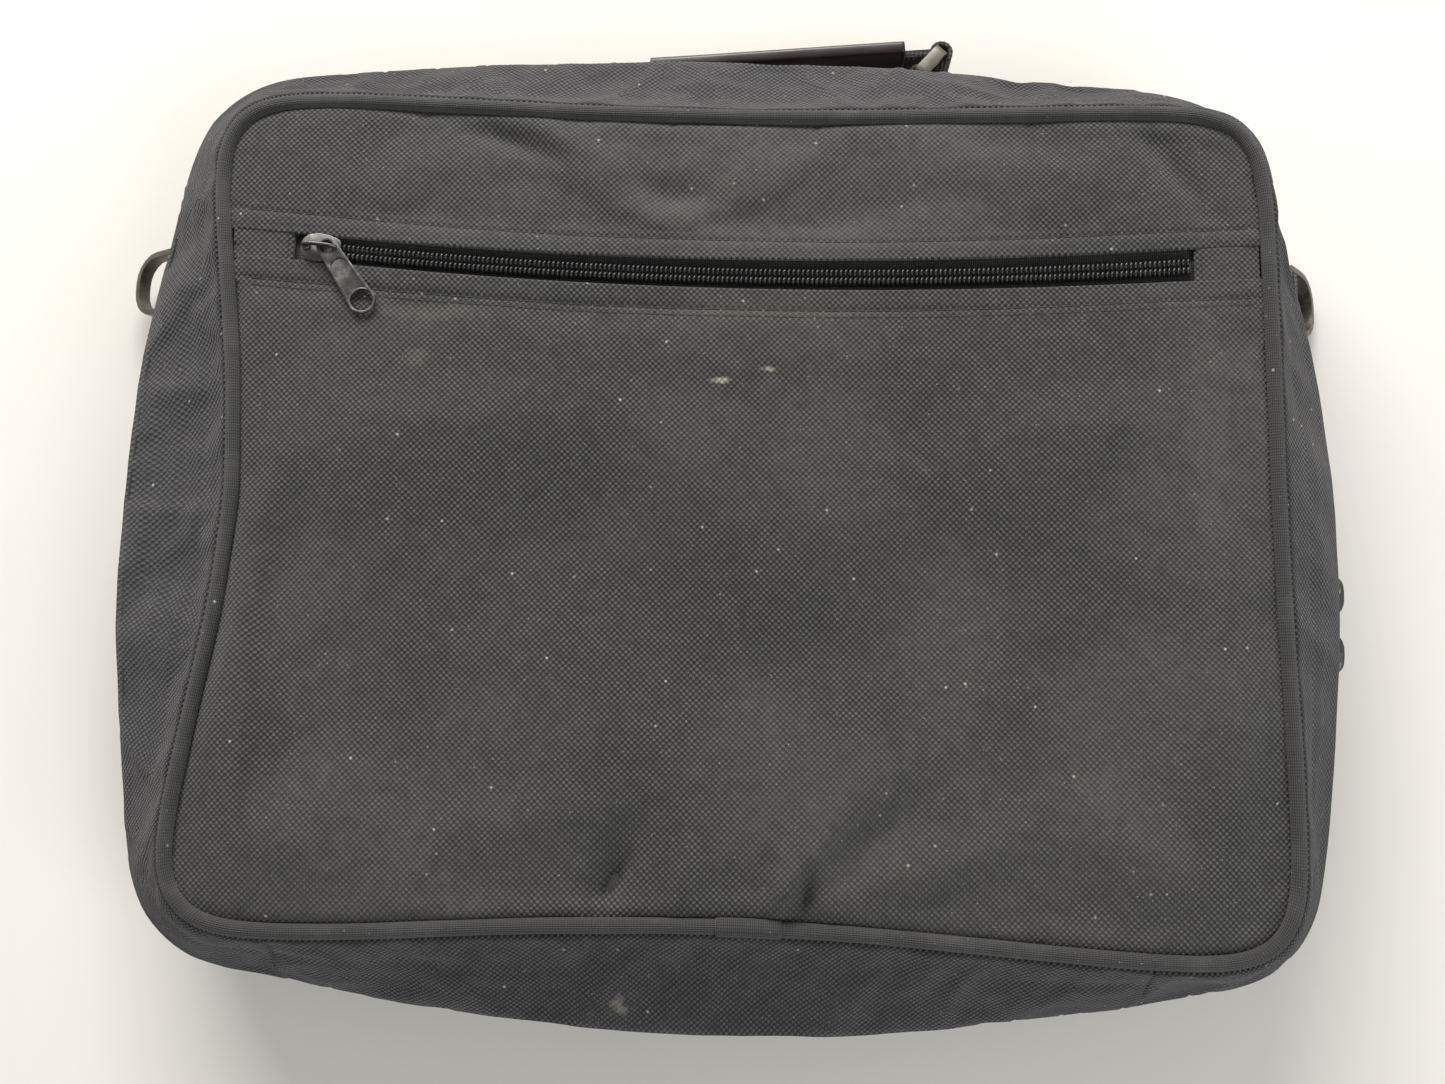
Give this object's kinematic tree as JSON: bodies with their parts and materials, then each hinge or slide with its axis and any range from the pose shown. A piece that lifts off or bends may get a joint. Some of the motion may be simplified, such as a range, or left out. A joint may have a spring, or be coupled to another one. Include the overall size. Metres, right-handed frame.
{
  "type": "soft laptop case",
  "caption": "Soft-sided padded case for a laptop, with a three-sided zip, a zipped front pocket, a carrying handle and strap rings.",
  "frame": {"origin": "middle of the back panel's outer face, which is the face the case lies on", "axes": "+Z away from the floor, through the front panel; +Y towards the carrying handle; +X along the width, to the right as the front panel is seen with the handle at the top"},
  "size_m": [0.4187, 0.3403, 0.0671],
  "materials": {
    "woven_fabric": "dusty black basket weave, matte",
    "piping": "black ribbed woven cover over a cord, matte",
    "lining": "dark grey lining cloth",
    "padding": "foam under cloth",
    "board": "plain sheet",
    "zip_tape": "ribbed black tape",
    "coil": "glossy black nylon coil",
    "webbing": "black narrow webbing",
    "gunmetal": "worn gunmetal plating",
    "ring_metal": "dull nickel plating",
    "vinyl": "smooth brown-black vinyl, slightly glossy"
  },
  "bodies": {
    "back_half": {"back_panel": "woven_fabric", "back_piping": "piping", "back_foam": "padding", "back_board": "board", "back_lining": "lining", "back_gusset": "woven_fabric", "back_gusset_padding": "padding", "bottom_gusset_back": "woven_fabric", "bottom_gusset_back_padding": "padding", "main_zip_tape_back": "zip_tape", "main_zip_coil_back": "coil", "laptop_sleeve": "lining", "sleeve_strap": "webbing", "handle_tab_left": "webbing", "handle_tab_right": "webbing", "strap_tab_left": "webbing", "strap_tab_right": "webbing"},
    "front_half": {"front_panel_upper": "woven_fabric", "front_panel_lower": "woven_fabric", "front_piping": "piping", "pocket_zip_tape": "zip_tape", "pocket_zip_coil": "coil", "pocket_end_tab_left": "woven_fabric", "pocket_end_tab_right": "woven_fabric", "pocket_lining": "lining", "front_foam": "padding", "front_lining": "lining", "front_gusset": "woven_fabric", "front_gusset_padding": "padding", "bottom_gusset_front": "woven_fabric", "bottom_gusset_front_padding": "padding", "main_zip_tape_front": "zip_tape", "main_zip_coil_front": "coil", "accessory_pocket": "lining"},
    "pocket_slider": {"pocket_slider": "gunmetal"},
    "pocket_pull": {"pocket_pull": "gunmetal"},
    "main_slider_upper": {"main_slider_upper": "gunmetal"},
    "main_slider_lower": {"main_slider_lower": "gunmetal"},
    "main_pull_upper": {"main_pull_upper": "gunmetal"},
    "main_pull_lower": {"main_pull_lower": "gunmetal"},
    "handle_ring_left": {"handle_ring_left": "ring_metal"},
    "handle": {"handle_strap": "webbing", "handle_grip": "vinyl"},
    "handle_ring_right": {"handle_ring_right": "ring_metal"},
    "strap_ring_left": {"strap_ring_left": "ring_metal"},
    "strap_ring_right": {"strap_ring_right": "ring_metal"}
  },
  "joints": [
    {"name": "lid_hinge", "type": "hinge", "parent": "back_half", "child": "front_half", "pos_m": [0, -0.16267, 0.033], "axis": [1, 0, 0], "range_deg": [0, 170]},
    {"name": "pocket_zip_run", "type": "hinge", "parent": "front_half", "child": "pocket_slider", "pos_m": [0.012, 1.656, 0.0628], "axis": [0, 0, 1], "range_deg": [0, 9.7]},
    {"name": "pocket_pull_swing", "type": "hinge", "parent": "pocket_slider", "child": "pocket_pull", "pos_m": [-0.13011, 0.08039, 0.0642], "axis": [0, 0, 1], "range_deg": [-65, 170]},
    {"name": "main_zip_run_upper", "type": "hinge", "parent": "back_half", "child": "main_slider_upper", "pos_m": [-0.27151, -0.01287, 0.033], "axis": [0, 0, 1], "range_deg": [0, 7]},
    {"name": "main_zip_run_lower", "type": "hinge", "parent": "back_half", "child": "main_slider_lower", "pos_m": [-0.27151, -0.01287, 0.033], "axis": [0, 0, 1], "range_deg": [-7.5, 0]},
    {"name": "main_pull_upper_swing", "type": "hinge", "parent": "main_slider_upper", "child": "main_pull_upper", "pos_m": [0.19539, -0.01811, 0.033], "axis": [0.9998, -0.0186, 0], "range_deg": [-10, 85]},
    {"name": "main_pull_lower_swing", "type": "hinge", "parent": "main_slider_lower", "child": "main_pull_lower", "pos_m": [0.19451, -0.04191, 0.033], "axis": [0.9985, -0.0552, 0], "range_deg": [-85, 10]},
    {"name": "handle_lift", "type": "hinge", "parent": "back_half", "child": "handle_ring_left", "pos_m": [-0.05374, 0.1556, 0.0108], "axis": [0, 0, 1], "range_deg": [-14, 42]},
    {"name": "handle_on_left_ring", "type": "hinge", "parent": "handle_ring_left", "child": "handle", "pos_m": [-0.0459, 0.16442, 0.0108], "axis": [0, 0, 1], "range_deg": [-42, 14]},
    {"name": "handle_right_ring_turn", "type": "hinge", "parent": "back_half", "child": "handle_ring_right", "pos_m": [0.06277, 0.16518, 0.0108], "axis": [0, 0, 1], "range_deg": [-14, 42]},
    {"name": "strap_ring_left_swing", "type": "hinge", "parent": "back_half", "child": "strap_ring_left", "pos_m": [-0.19587, 0.085, 0.018], "axis": [0, 1, 0], "range_deg": [0, 70]},
    {"name": "strap_ring_right_swing", "type": "hinge", "parent": "back_half", "child": "strap_ring_right", "pos_m": [0.18855, 0.085, 0.018], "axis": [0, -1, 0], "range_deg": [0, 85]}
  ],
  "couplings": [
    {"joint": "handle_on_left_ring", "follows": "handle_lift", "ratio": -1},
    {"joint": "handle_right_ring_turn", "follows": "handle_lift", "ratio": 1}
  ]
}
